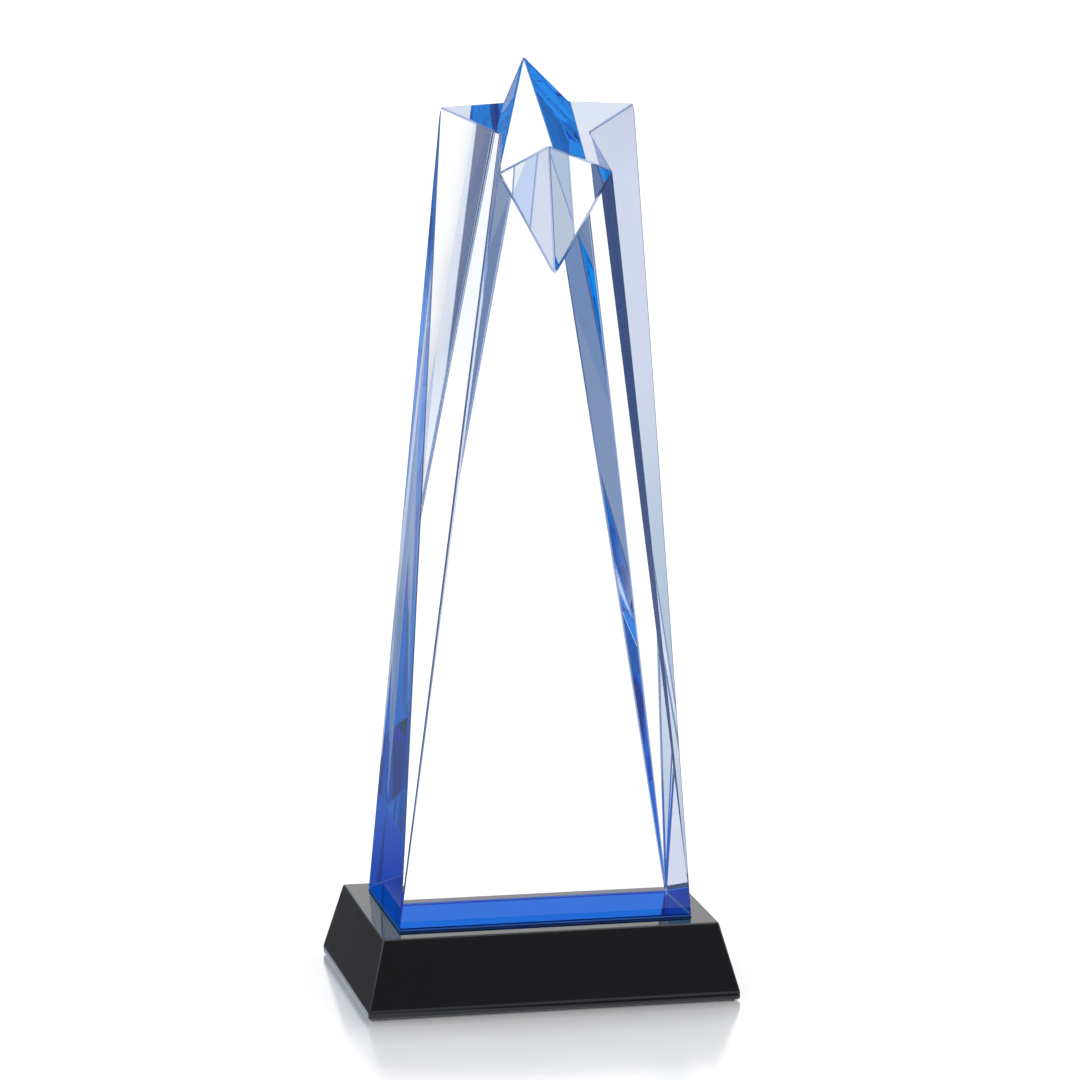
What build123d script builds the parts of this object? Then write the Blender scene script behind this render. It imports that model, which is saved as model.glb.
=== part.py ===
"""Star tower crystal award, in millimetres.

A clear crystal tower grows from an oblong foot into a sloping five-pointed star. Five vee grooves part
the star's points: the front one is short, and the other four run down to the corners of the foot.
The tower stands on a thin mirror-blue plate, which is bonded to a black crystal base on a thin velvet
pad. Nothing moves.
Origin: centre of the underside. +X is to the right seen from the front, +Y to the back and +Z up.
"""

import os
from math import atan, atan2, cos, degrees, radians, sin

from build123d import *

# Black base: an upright land round the bottom edge, then four sloping sides
base_width = 126.8
base_depth = 89.8
base_land = 2.6
base_inset = 6.1
base_top = 26.0
base_edge = 0.4

# Velvet pad under the base
pad_thickness = 0.5
pad_inset = 1.5

# Layers between the base and the tower: clear adhesive, then the mirror-blue plate
bond_thickness = 0.15
plate_thickness = 0.5

# Foot of the tower
foot_width = 100.0
foot_depth = 59.2

# Star face: a plane that slopes up towards the back, at this angle from upright. Its points are given
# across from the centre line, and up the slope from the line that joins the two arm points.
arm_height = 299.7
arm_setback = -15.0
star_slope = 57.3
arm_point = (32.6, 0.0)
front_point = (18.7, -35.0)
back_point = (0.0, 26.5)
front_corner = (0.0, -21.7)
side_corner = (14.9, -14.6)
back_corner = (11.0, 1.9)

# Height at which the front groove runs out through the front facet
front_groove_end = 247.3

# Sizes of the blank and of the groove cutter, both larger than the crystal
blank_margin = 20.0
groove_reach = 120.0
groove_overrun = 20.0


def on_star(point, side=1):
    """A point of the star face in space. Side -1 gives its twin on the left."""
    across, up_slope = point
    return Vector(
        side * across,
        arm_setback + up_slope * sin(radians(star_slope)),
        arm_height + up_slope * cos(radians(star_slope)),
    )


def facet(first, second, third):
    """The plane through three corners, which run anticlockwise seen from outside the crystal."""
    run = second - first
    rise = third - first
    return Plane(origin=first, x_dir=run, z_dir=run.cross(rise))


plate_z = base_top + bond_thickness
foot_z = plate_z + plate_thickness
foot = {
    (side, end): Vector(side * foot_width / 2, end * foot_depth / 2, foot_z)
    for side in (-1, 1)
    for end in (-1, 1)
}
tip_back = on_star(back_point)
tip_arm = {side: on_star(arm_point, side) for side in (-1, 1)}
tip_front = {side: on_star(front_point, side) for side in (-1, 1)}

front_facet = facet(foot[-1, -1], foot[1, -1], tip_front[1])
side_facets = [
    front_facet,
    facet(foot[1, -1], foot[1, 1], tip_arm[1]),
    facet(foot[1, 1], foot[-1, 1], tip_back),
    facet(foot[-1, 1], foot[-1, -1], tip_arm[-1]),
]
star_facet = facet(tip_front[-1], tip_front[1], tip_back)

# Where the front groove meets the front facet, on the centre line
front_lean = front_facet.z_dir.Z / front_facet.z_dir.Y
front_groove_foot = Vector(0, -foot_depth / 2 - front_lean * (front_groove_end - foot_z), front_groove_end)

# Each groove: the star points on its two sides, its inner corner on the star face, and its lower end
grooves = [(tip_front[-1], tip_front[1], on_star(front_corner), front_groove_foot)]
for side in (-1, 1):
    grooves.append((tip_arm[side], tip_front[side], on_star(side_corner, side), foot[side, -1]))
    grooves.append((tip_arm[side], tip_back, on_star(back_corner, side), foot[side, 1]))


def groove_plane(inner, end):
    """The plane square to a groove's bottom line, a little below its lower end."""
    run = (inner - end).normalized()
    return Plane(origin=end - run * groove_overrun, x_dir=(1, 0, 0), z_dir=run)


def groove_arm(plane, inner, tip):
    """Outer end of the side of the vee that lies in the wall between the groove's bottom and a point."""
    start = plane.to_local_coords(inner)
    end = plane.to_local_coords(tip)
    heading = atan2(end.Y - start.Y, end.X - start.X)
    return (groove_reach * cos(heading), groove_reach * sin(heading))


with BuildPart() as velvet_pad:
    with BuildSketch(Plane.XY):
        Rectangle(base_width - 2 * pad_inset, base_depth - 2 * pad_inset)
    extrude(amount=pad_thickness)

with BuildPart() as black_base:
    with BuildSketch(Plane.XY.offset(pad_thickness)):
        Rectangle(base_width, base_depth)
    extrude(amount=base_land)
    slope_height = base_top - pad_thickness - base_land
    extrude(
        black_base.faces().sort_by(Axis.Z)[-1],
        amount=slope_height,
        taper=degrees(atan(base_inset / slope_height)),
    )
    chamfer(black_base.edges(), length=base_edge)

with BuildPart() as bond_film:
    with BuildSketch(Plane.XY.offset(base_top)):
        Rectangle(foot_width, foot_depth)
    extrude(amount=bond_thickness)

with BuildPart() as blue_plate:
    with BuildSketch(Plane.XY.offset(plate_z)):
        Rectangle(foot_width, foot_depth)
    extrude(amount=plate_thickness)

with BuildPart() as star_tower:
    with BuildSketch(Plane.XY.offset(foot_z)):
        Rectangle(foot_width + 2 * blank_margin, foot_depth + 2 * blank_margin)
    extrude(amount=tip_back.Z + blank_margin - foot_z)
    for plane in [*side_facets, star_facet]:
        split(bisect_by=plane, keep=Keep.BOTTOM)
    for tip_a, tip_b, inner, end in grooves:
        section = groove_plane(inner, end)
        with BuildSketch(section):
            Polygon(
                (0, 0),
                groove_arm(section, inner, tip_a),
                groove_arm(section, inner, tip_b),
                align=None,
            )
        extrude(amount=(inner - end).length + 3 * groove_overrun, mode=Mode.SUBTRACT)

pieces = {
    "velvet_pad": velvet_pad,
    "black_base": black_base,
    "bond_film": bond_film,
    "blue_plate": blue_plate,
    "star_tower": star_tower,
}
os.makedirs("parts", exist_ok=True)
for name, piece in pieces.items():
    piece.part.label = name
    export_step(piece.part, f"parts/{name}.step")
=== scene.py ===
"""Looks of the star tower crystal award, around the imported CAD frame, in metres.

The crystal is refracting glass over a mirror-blue plate, so most of what it shows is the studio round
it. The studio is a sky whose colours depend only on direction.
"""

import math

import bpy
from mathutils import Euler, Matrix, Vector


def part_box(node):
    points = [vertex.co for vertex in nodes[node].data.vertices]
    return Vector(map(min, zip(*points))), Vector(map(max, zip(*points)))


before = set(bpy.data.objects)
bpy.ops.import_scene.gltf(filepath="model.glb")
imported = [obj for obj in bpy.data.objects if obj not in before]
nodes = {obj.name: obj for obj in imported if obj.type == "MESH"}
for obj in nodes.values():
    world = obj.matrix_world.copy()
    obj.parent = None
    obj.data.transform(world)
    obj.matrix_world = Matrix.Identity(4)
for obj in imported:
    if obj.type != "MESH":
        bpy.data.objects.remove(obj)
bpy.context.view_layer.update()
tower = nodes["star_tower"]
base = nodes["black_base"]
tower_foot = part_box("star_tower")[0].z
base_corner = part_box("black_base")[1]

# Widths of the polished edges, and the least angle between faces that gets one
tower_edge_width = 0.00045
tower_edge_angle = 8
base_edge_width = 0.00015
base_edge_angle = 30

# Vertices closer than this are one vertex, and faces this near the foot are the foot
weld_distance = 0.000005
foot_tolerance = 0.00001

# The films touch the faces above and below them, so each is drawn in by this much
film_clearance = 0.00002

# The floor fades out between two distances from its centre. Its mirror sheen ends this far from the base
floor_radius = 0.18
fade_start = 0.115
fade_end = 0.165
sheen_reach = 0.06

# Camera, in degrees and metres: to the left of the award's front, tilted down, with a long lens. The
# focal length is in pixels of the photograph.
camera_turn = 11.9062
camera_tilt = 10.353
camera_place = (-0.3554, -1.70489, 0.46984)
focal_pixels = 5261.66
photo_pixels = 1080
sensor_width = 36

light_bounces = 32

# A noise mostly lies between these two values
noise_low = 0.3
noise_high = 0.7

# The blue of the plate gives way to the tint of the polished edge over this height
foot_blend = 0.00005

# Degrees over which the edge of a card on the sky is soft
card_edge = 2


# Node helpers

def new_material(name):
    mat = bpy.data.materials.new(name)
    mat.use_nodes = True
    tree = mat.node_tree
    tree.nodes.clear()
    out = tree.nodes.new("ShaderNodeOutputMaterial")
    shader = tree.nodes.new("ShaderNodeBsdfPrincipled")
    tree.links.new(shader.outputs[0], out.inputs["Surface"])
    return mat, tree, shader


def add(tree, kind, inputs, **settings):
    """A new node. An input is either a value or another node's output."""
    node = tree.nodes.new(kind)
    for key, value in settings.items():
        setattr(node, key, value)
    for key, value in inputs.items():
        if isinstance(value, bpy.types.NodeSocket):
            tree.links.new(value, node.inputs[key])
        else:
            node.inputs[key].default_value = value
    return node


def position(tree):
    return tree.nodes.new("ShaderNodeTexCoord").outputs["Object"]


def noise(tree, scale, detail=3.0, distortion=0.0):
    node = add(
        tree,
        "ShaderNodeTexNoise",
        {"Vector": position(tree), "Scale": scale, "Detail": detail, "Distortion": distortion},
    )
    return node.outputs["Fac"]


def ramp(tree, factor, stops):
    node = add(tree, "ShaderNodeValToRGB", {"Fac": factor})
    elements = node.color_ramp.elements
    elements.remove(elements[-1])
    elements[0].position = stops[0][0]
    elements[0].color = (*stops[0][1], 1)
    for place, colour in stops[1:]:
        elements.new(place).color = (*colour, 1)
    return node.outputs["Color"]


def mottle(tree, factor, first, second):
    """A colour that drifts from first to second with a noise."""
    return ramp(tree, factor, [(noise_low, first), (noise_high, second)])


def rescale(tree, factor, low, high, start=noise_low, end=noise_high):
    """Turns start..end into low..high, and holds the ends."""
    node = add(
        tree,
        "ShaderNodeMapRange",
        {"Value": factor, "From Min": start, "From Max": end, "To Min": low, "To Max": high},
    )
    return node.outputs["Result"]


def bump(tree, height, strength, distance):
    node = add(
        tree, "ShaderNodeBump", {"Height": height, "Strength": strength, "Distance": distance}
    )
    return node.outputs["Normal"]


def calc(tree, operation, first, second=0.0):
    return add(tree, "ShaderNodeMath", {0: first, 1: second}, operation=operation).outputs[0]


def mix(tree, factor, first, second):
    node = add(tree, "ShaderNodeMix", {0: factor, 6: first, 7: second}, data_type="RGBA")
    return node.outputs[2]


# Materials

def crystal(name, roughness, waviness, tints):
    """Clear glass, with a faint haze and the slight waviness of hand polishing."""
    mat, tree, shader = new_material(name)
    tint = mottle(tree, noise(tree, 9.0, 2.0), *tints)
    tree.links.new(tint, shader.inputs["Base Color"])
    shader.inputs["Transmission Weight"].default_value = 1.0
    shader.inputs["IOR"].default_value = 1.51
    haze = rescale(tree, noise(tree, 120.0, 4.0), *roughness)
    tree.links.new(haze, shader.inputs["Roughness"])
    polish = bump(tree, noise(tree, 22.0, 1.0), 1.0, waviness)
    tree.links.new(polish, shader.inputs["Normal"])
    return mat


def blue_foot(mat, top):
    """Below this height the polished edge belongs to the blue plate under the crystal."""
    tree = mat.node_tree
    shader = tree.nodes["Principled BSDF"]
    place = add(tree, "ShaderNodeSeparateXYZ", {0: position(tree)})
    ring = rescale(tree, place.outputs["Z"], 1.0, 0.0, top, top + foot_blend)
    tint = shader.inputs["Base Color"].links[0].from_socket
    tree.links.new(mix(tree, ring, tint, (0.02, 0.16, 0.60, 1)), shader.inputs["Base Color"])
    tree.links.new(ring, shader.inputs["Metallic"])


def blue_mirror():
    """The blue plate's face, seen through the crystal that stands on it."""
    mat, tree, shader = new_material("blue_plate")
    shade = mottle(tree, noise(tree, 40.0), (0.002, 0.19, 0.66), (0.005, 0.22, 0.72))
    tree.links.new(shade, shader.inputs["Base Color"])
    shader.inputs["Metallic"].default_value = 1.0
    shader.inputs["Specular Tint"].default_value = (0.03, 0.26, 0.85, 1)
    haze = rescale(tree, noise(tree, 300.0), 0.0, 0.03)
    tree.links.new(haze, shader.inputs["Roughness"])
    return mat


def blue_side():
    mat, tree, shader = new_material("blue_plate_edge")
    shade = mottle(tree, noise(tree, 80.0), (0.03, 0.15, 0.62), (0.04, 0.18, 0.70))
    tree.links.new(shade, shader.inputs["Base Color"])
    shader.inputs["IOR"].default_value = 1.5
    haze = rescale(tree, noise(tree, 500.0), 0.08, 0.22)
    tree.links.new(haze, shader.inputs["Roughness"])
    return mat


def adhesive():
    mat, tree, shader = new_material("adhesive")
    cloud = mottle(tree, noise(tree, 60.0), (0.90, 0.94, 0.98), (0.97, 0.98, 1.0))
    tree.links.new(cloud, shader.inputs["Base Color"])
    shader.inputs["Transmission Weight"].default_value = 1.0
    shader.inputs["IOR"].default_value = 1.5
    haze = rescale(tree, noise(tree, 900.0), 0.02, 0.12)
    tree.links.new(haze, shader.inputs["Roughness"])
    return mat


def black_gloss(name, roughness, colour):
    mat, tree, shader = new_material(name)
    lighter = tuple(1.5 * channel for channel in colour)
    shade = mottle(tree, noise(tree, 14.0, 4.0), colour, lighter)
    tree.links.new(shade, shader.inputs["Base Color"])
    shader.inputs["IOR"].default_value = 1.52
    haze = rescale(tree, noise(tree, 160.0, 5.0, 0.4), *roughness)
    tree.links.new(haze, shader.inputs["Roughness"])
    polish = bump(tree, noise(tree, 30.0, 1.0), 0.6, 0.00001)
    tree.links.new(polish, shader.inputs["Normal"])
    return mat


def velvet():
    mat, tree, shader = new_material("velvet")
    pile = noise(tree, 2600.0, 2.0)
    pile_shade = ramp(tree, pile, [(0.35, (0.006, 0.006, 0.007)), (0.65, (0.022, 0.022, 0.025))])
    nap = mix(tree, noise(tree, 70.0), pile_shade, (0.014, 0.014, 0.016, 1))
    tree.links.new(nap, shader.inputs["Base Color"])
    shader.inputs["Roughness"].default_value = 0.95
    shader.inputs["Sheen Weight"].default_value = 0.4
    shader.inputs["Sheen Roughness"].default_value = 0.4
    tree.links.new(bump(tree, pile, 0.6, 0.0002), shader.inputs["Normal"])
    return mat


def assign(obj, mats, pick=lambda poly: 0):
    """Gives an object its materials. pick returns the number of a face's material."""
    mesh = obj.data
    mesh.materials.clear()
    for mat in mats:
        mesh.materials.append(mat)
    for poly in mesh.polygons:
        poly.material_index = pick(poly)


def soften(obj, width, least_angle, segments, slot):
    """Polished edges, in the material of this slot."""
    weld = obj.modifiers.new("weld", "WELD")
    weld.merge_threshold = weld_distance
    edge = obj.modifiers.new("polish", "BEVEL")
    edge.width = width
    edge.segments = segments
    edge.limit_method = "ANGLE"
    edge.angle_limit = math.radians(least_angle)
    edge.material = slot
    edge.use_clamp_overlap = False
    edge.miter_outer = "MITER_ARC"
    normals = obj.modifiers.new("normals", "WEIGHTED_NORMAL")
    normals.mode = "FACE_AREA"
    normals.weight = 100


clear = crystal(
    "clear_crystal", (0.0, 0.006), 0.00006, ((0.985, 0.992, 1.0), (1.0, 1.0, 1.0))
)
# The tower's polished edges are glass tinted a dark greyish blue. This tint is painted shade that draws
# the thin dark outlines along the crystal's edges. At the foot the edge turns to the plate's metallic
# blue.
painted_outline_edge = crystal(
    "clear_crystal_edge_painted_outline", (0.03, 0.10), 0.00002, ((0.10, 0.16, 0.36), (0.20, 0.28, 0.52))
)
blue_foot(painted_outline_edge, tower_foot + tower_edge_width)
black = black_gloss("black_crystal", (0.02, 0.07), (0.004, 0.004, 0.005))
# The base's bevelled edges are rougher, and lighter in colour. The lighter colour is a painted highlight
# along the edges.
black_edge_painted_highlight = black_gloss("black_crystal_edge_painted_highlight", (0.12, 0.25), (0.02, 0.02, 0.022))

assign(
    tower,
    [clear, blue_mirror(), painted_outline_edge],
    lambda poly: int(poly.center.z < tower_foot + foot_tolerance),
)
assign(nodes["blue_plate"], [blue_side()])
assign(nodes["bond_film"], [adhesive()])
assign(base, [black, black_edge_painted_highlight])
assign(nodes["velvet_pad"], [velvet()])
soften(tower, tower_edge_width, tower_edge_angle, segments=3, slot=2)
soften(base, base_edge_width, base_edge_angle, segments=1, slot=1)

for name in ("blue_plate", "bond_film"):
    shrink = nodes[name].modifiers.new("clearance", "DISPLACE")
    shrink.strength = -film_clearance
    shrink.mid_level = 0.0


# Floor: a glossy white sheet that fades out at its rim. Glass and gloss don't see it, so the crystal and
# the base show only the studio.

bpy.ops.mesh.primitive_circle_add(vertices=128, radius=floor_radius, fill_type="NGON")
floor = bpy.context.object
floor.name = "floor"
mat, tree, shader = new_material("table")
paper = mottle(tree, noise(tree, 5.0, 2.0), (0.93, 0.93, 0.935), (0.95, 0.95, 0.95))
tree.links.new(paper, shader.inputs["Base Color"])
tree.links.new(rescale(tree, noise(tree, 30.0), 0.16, 0.20), shader.inputs["Roughness"])
shader.inputs["IOR"].default_value = 3.5
shader.inputs["Emission Color"].default_value = (1, 1, 1, 1)
shader.inputs["Emission Strength"].default_value = 0.14

# How far a point lies beyond the base's sides, as a share of the sheen's reach
place = add(tree, "ShaderNodeSeparateXYZ", {0: position(tree)})
beyond_x = calc(tree, "SUBTRACT", calc(tree, "ABSOLUTE", place.outputs["X"]), base_corner.x)
beyond_y = calc(tree, "SUBTRACT", calc(tree, "ABSOLUTE", place.outputs["Y"]), base_corner.y)
away = calc(tree, "MULTIPLY", calc(tree, "MAXIMUM", beyond_x, beyond_y), 1 / sheen_reach)
sheen_stops = [(0.0, 0.50), (0.15, 0.24), (0.5, 0.06), (1.0, 0.0)]
sheen = ramp(tree, away, [(at, (share,) * 3) for at, share in sheen_stops])
mirror = add(
    tree,
    "ShaderNodeBsdfAnisotropic",
    {"Color": (1, 1, 1, 1), "Roughness": rescale(tree, noise(tree, 40.0), 0.08, 0.12)},
)
surface = add(tree, "ShaderNodeMixShader", {0: sheen, 1: shader.outputs[0], 2: mirror.outputs[0]})
distance = add(tree, "ShaderNodeVectorMath", {0: position(tree)}, operation="LENGTH")
fade = rescale(tree, distance.outputs["Value"], 0.0, 1.0, fade_start, fade_end)
clear_rim = add(tree, "ShaderNodeBsdfTransparent", {})
sheet = add(tree, "ShaderNodeMixShader", {0: fade, 1: surface.outputs[0], 2: clear_rim.outputs[0]})
tree.links.new(sheet.outputs[0], tree.nodes["Material Output"].inputs["Surface"])
floor.data.materials.append(mat)
floor.visible_transmission = False
floor.visible_glossy = False


# Studio. Directions are in degrees: azimuth 0 is behind the award (+Y) and grows towards its right (+X),
# and elevation 0 is level. The camera itself sees a plain white backdrop.

world = bpy.data.worlds.new("studio")
bpy.context.scene.world = world
world.use_nodes = True
tree = world.node_tree
background = tree.nodes["Background"]
coords = tree.nodes.new("ShaderNodeTexCoord")
direction = add(tree, "ShaderNodeSeparateXYZ", {0: coords.outputs["Generated"]})
azimuth = calc(tree, "ARCTAN2", direction.outputs["X"], direction.outputs["Y"])
turn = calc(tree, "ADD", calc(tree, "DIVIDE", azimuth, 2 * math.pi), 0.5)
elevation = calc(tree, "DIVIDE", calc(tree, "ARCSINE", direction.outputs["Z"]), math.radians(1))


def around(stops):
    """Colours by azimuth."""
    return ramp(tree, turn, [((az + 180) / 360, colour) for az, colour in stops])


def upward(stops):
    """Colours by elevation."""
    level = calc(tree, "DIVIDE", calc(tree, "ADD", elevation, 90.0), 180.0)
    return ramp(tree, level, [((el + 90) / 180, colour) for el, colour in stops])


def past(start, end):
    """0 up to one elevation and 1 past the other, going up or down."""
    return rescale(tree, elevation, 0.0, 1.0, start, end)


def card(sky, az, el, half_width, half_height, colour):
    """A rectangle of colour on the sky, with soft edges."""
    across = calc(tree, "ABSOLUTE", calc(tree, "SUBTRACT", turn, (az + 180) / 360))
    up = calc(tree, "ABSOLUTE", calc(tree, "SUBTRACT", elevation, el))
    window = calc(
        tree,
        "MULTIPLY",
        rescale(tree, across, 1.0, 0.0, half_width / 360, (half_width + card_edge) / 360),
        rescale(tree, up, 1.0, 0.0, half_height, half_height + card_edge),
    )
    return mix(tree, window, sky, (*colour, 1))


WHITE = (1.15, 1.15, 1.15)
LAVENDER = (0.66, 0.72, 0.86)
NAVY = (0.01, 0.045, 0.18)
DIM = (0.10, 0.10, 0.105)
OFF = (0, 0, 0)
ON = (1, 1, 1)

# Below 12 degrees down
low = around([
    (-180, (0.17, 0.25, 0.41)),
    (-130, (0.18, 0.27, 0.47)),
    (-100, (0.18, 0.27, 0.47)),
    (-76, (0.85, 0.90, 1.0)),
    (-64, (0.85, 0.90, 1.0)),
    (-56, (0.14, 0.21, 0.40)),
    (-40, NAVY),
    (-34, NAVY),
    (-30, (0.16, 0.22, 0.36)),
    (-22, (0.3, 0.36, 0.5)),
    (-3.0, LAVENDER),
    (-1.0, WHITE),
    (33.9, WHITE),
    (34.8, (0.04, 0.06, 0.14)),
    (50, (0.10, 0.14, 0.24)),
    (60, (0.19, 0.27, 0.46)),
    (75, (0.02, 0.05, 0.17)),
    (86, (0.75, 0.80, 0.90)),
    (104, (0.14, 0.22, 0.44)),
    (114, (0.14, 0.24, 0.46)),
    (118, (0.55, 0.64, 0.84)),
    (127, (0.60, 0.70, 0.92)),
    (145, (0.45, 0.54, 0.72)),
    (160, (0.85, 0.90, 0.95)),
    (172, (0.25, 0.33, 0.48)),
])

# From there to about 5 degrees up
middle = around([
    (-180, (0.70, 0.72, 0.76)),
    (-130, (0.62, 0.67, 0.77)),
    (-76, (0.62, 0.67, 0.77)),
    (-60, (0.2, 0.26, 0.4)),
    (-10, (0.05, 0.09, 0.2)),
    (5.4, (0.14, 0.19, 0.33)),
    (5.95, WHITE),
    (20, WHITE),
    (24, (0.35, 0.42, 0.58)),
    (60, (0.3, 0.38, 0.55)),
    (78, (0.55, 0.60, 0.70)),
    (104, (0.55, 0.60, 0.70)),
    (120, (0.40, 0.45, 0.55)),
    (180, (0.70, 0.72, 0.76)),
])

# From there to about 35 degrees up
high = around([
    (-180, (0.8, 0.81, 0.83)),
    (-110, (0.6, 0.63, 0.7)),
    (-20, (0.3, 0.35, 0.48)),
    (2, (0.7, 0.73, 0.8)),
    (6, (1.0, 1.0, 1.0)),
    (20, (1.0, 1.0, 1.0)),
    (50, (0.6, 0.66, 0.78)),
    (95, (0.22, 0.27, 0.40)),
    (130, (0.22, 0.27, 0.40)),
    (180, (0.8, 0.81, 0.83)),
])

# Behind the award and a little to its left
left = upward([
    (-45, NAVY),
    (-30, (0.2, 0.27, 0.42)),
    (-19, (0.50, 0.60, 0.74)),
    (-17.3, LAVENDER),
    (-14.2, LAVENDER),
    (-12.5, (0.0, 0.01, 0.05)),
    (-12.1, (0.14, 0.22, 0.32)),
    (-11.0, (0.17, 0.26, 0.38)),
    (-9.9, (0.21, 0.28, 0.42)),
    (-9.2, (0.42, 0.50, 0.72)),
    (-6.5, (0.50, 0.58, 0.85)),
    (-6.0, DIM),
    (4, DIM),
    (8, (0.02, 0.22, 0.45)),
    (14, (0.02, 0.22, 0.45)),
    (25, (0.5, 0.56, 0.7)),
])
left_window = around([(-26, OFF), (-20, ON), (-4.5, ON), (-2.5, OFF)])

# In front of the award, which the base's front reflects
front = upward([
    (-14, (0.5, 0.56, 0.66)),
    (-5, (0.6, 0.64, 0.7)),
    (4, (0.85, 0.87, 0.9)),
    (10.5, (0.85, 0.87, 0.9)),
    (12, (0.20, 0.20, 0.205)),
    (19, (0.20, 0.20, 0.205)),
    (21, (1.0, 1.0, 1.0)),
])
front_window = around([(-150, ON), (-120, OFF), (130, OFF), (150, ON)])

# A large soft light overhead, with a dimmer gap in it behind the award and to its right
overhead = (1.3, 1.3, 1.3, 1)
gap_colour = (0.35, 0.38, 0.45, 1)
gap_window = around([(0, OFF), (12, ON), (50, ON), (62, OFF)])

# Straight below, more than 50 degrees down
deep = around([
    (-175, (0.45, 0.54, 0.68)),
    (-130, (1.0, 1.05, 1.1)),
    (-110, (1.0, 1.05, 1.1)),
    (-75, (0.22, 0.32, 0.60)),
    (-35, (0.22, 0.32, 0.60)),
    (-8, (0.50, 0.57, 0.72)),
    (4, (0.87, 0.90, 0.97)),
    (30, (0.85, 0.88, 0.95)),
    (50, (0.12, 0.28, 0.52)),
    (66, (0.05, 0.22, 0.60)),
    (100, (0.14, 0.22, 0.44)),
    (140, (0.45, 0.54, 0.68)),
])

sky = mix(tree, past(-12.5, -11.5), low, middle)
sky = mix(tree, past(2.0, 9.0), sky, high)
sky = mix(tree, calc(tree, "MULTIPLY", front_window, past(-14.0, -10.0)), sky, front)
sky = mix(tree, left_window, sky, left)
sky = mix(tree, past(25.0, 45.0), sky, overhead)
sky = mix(tree, calc(tree, "MULTIPLY", gap_window, past(60.0, 65.0)), sky, gap_colour)
sky = mix(tree, past(-48.5, -51.0), sky, deep)

# Cards that give single facets their shade: azimuth, elevation, half width, half height, colour
for az, el, half_width, half_height, colour in [
    (-45, -42, 8, 6, (0.47, 0.57, 0.72)),
    (-31, -34, 4, 5, (0.27, 0.35, 0.53)),
    (110, -45, 9, 6, (0.0, 0.05, 0.30)),
    (-18.5, -6.5, 3.2, 4, (0.10, 0.10, 0.105)),
    (116, -26, 6, 4, (0.16, 0.26, 0.46)),
    (-132, -20, 54, 7, (0.86, 0.89, 0.95)),
    (154, -20, 28, 7, (0.86, 0.89, 0.95)),
    (90, -19, 14, 6, (0.70, 0.75, 0.85)),
    (167, -13.8, 5, 1.6, (0.12, 0.12, 0.13)),
    (-4, 40, 8, 5, (0.22, 0.26, 0.36)),
    (40, -13, 4, 4, (0.03, 0.06, 0.16)),
    (28.5, -10.5, 3, 2.5, (0.95, 0.98, 1.02)),
]:
    sky = card(sky, az, el, half_width, half_height, colour)

rays = tree.nodes.new("ShaderNodeLightPath")
sky = mix(tree, rays.outputs["Is Camera Ray"], sky, (*WHITE, 1))
tree.links.new(sky, background.inputs["Color"])
background.inputs["Strength"].default_value = 1.0

scene = bpy.context.scene
scene.view_settings.view_transform = "Standard"
scene.cycles.max_bounces = light_bounces
scene.cycles.transmission_bounces = light_bounces
scene.cycles.glossy_bounces = light_bounces
scene.cycles.transparent_max_bounces = light_bounces
scene.cycles.blur_glossy = 0.2

camera_data = bpy.data.cameras.new("camera")
camera_data.sensor_width = sensor_width
camera_data.lens = sensor_width * focal_pixels / photo_pixels
camera_data.clip_end = 50
camera = bpy.data.objects.new("camera", camera_data)
scene.collection.objects.link(camera)
camera.location = Vector(camera_place)
camera.rotation_euler = Euler((math.radians(90 - camera_tilt), 0, -math.radians(camera_turn)))
scene.camera = camera
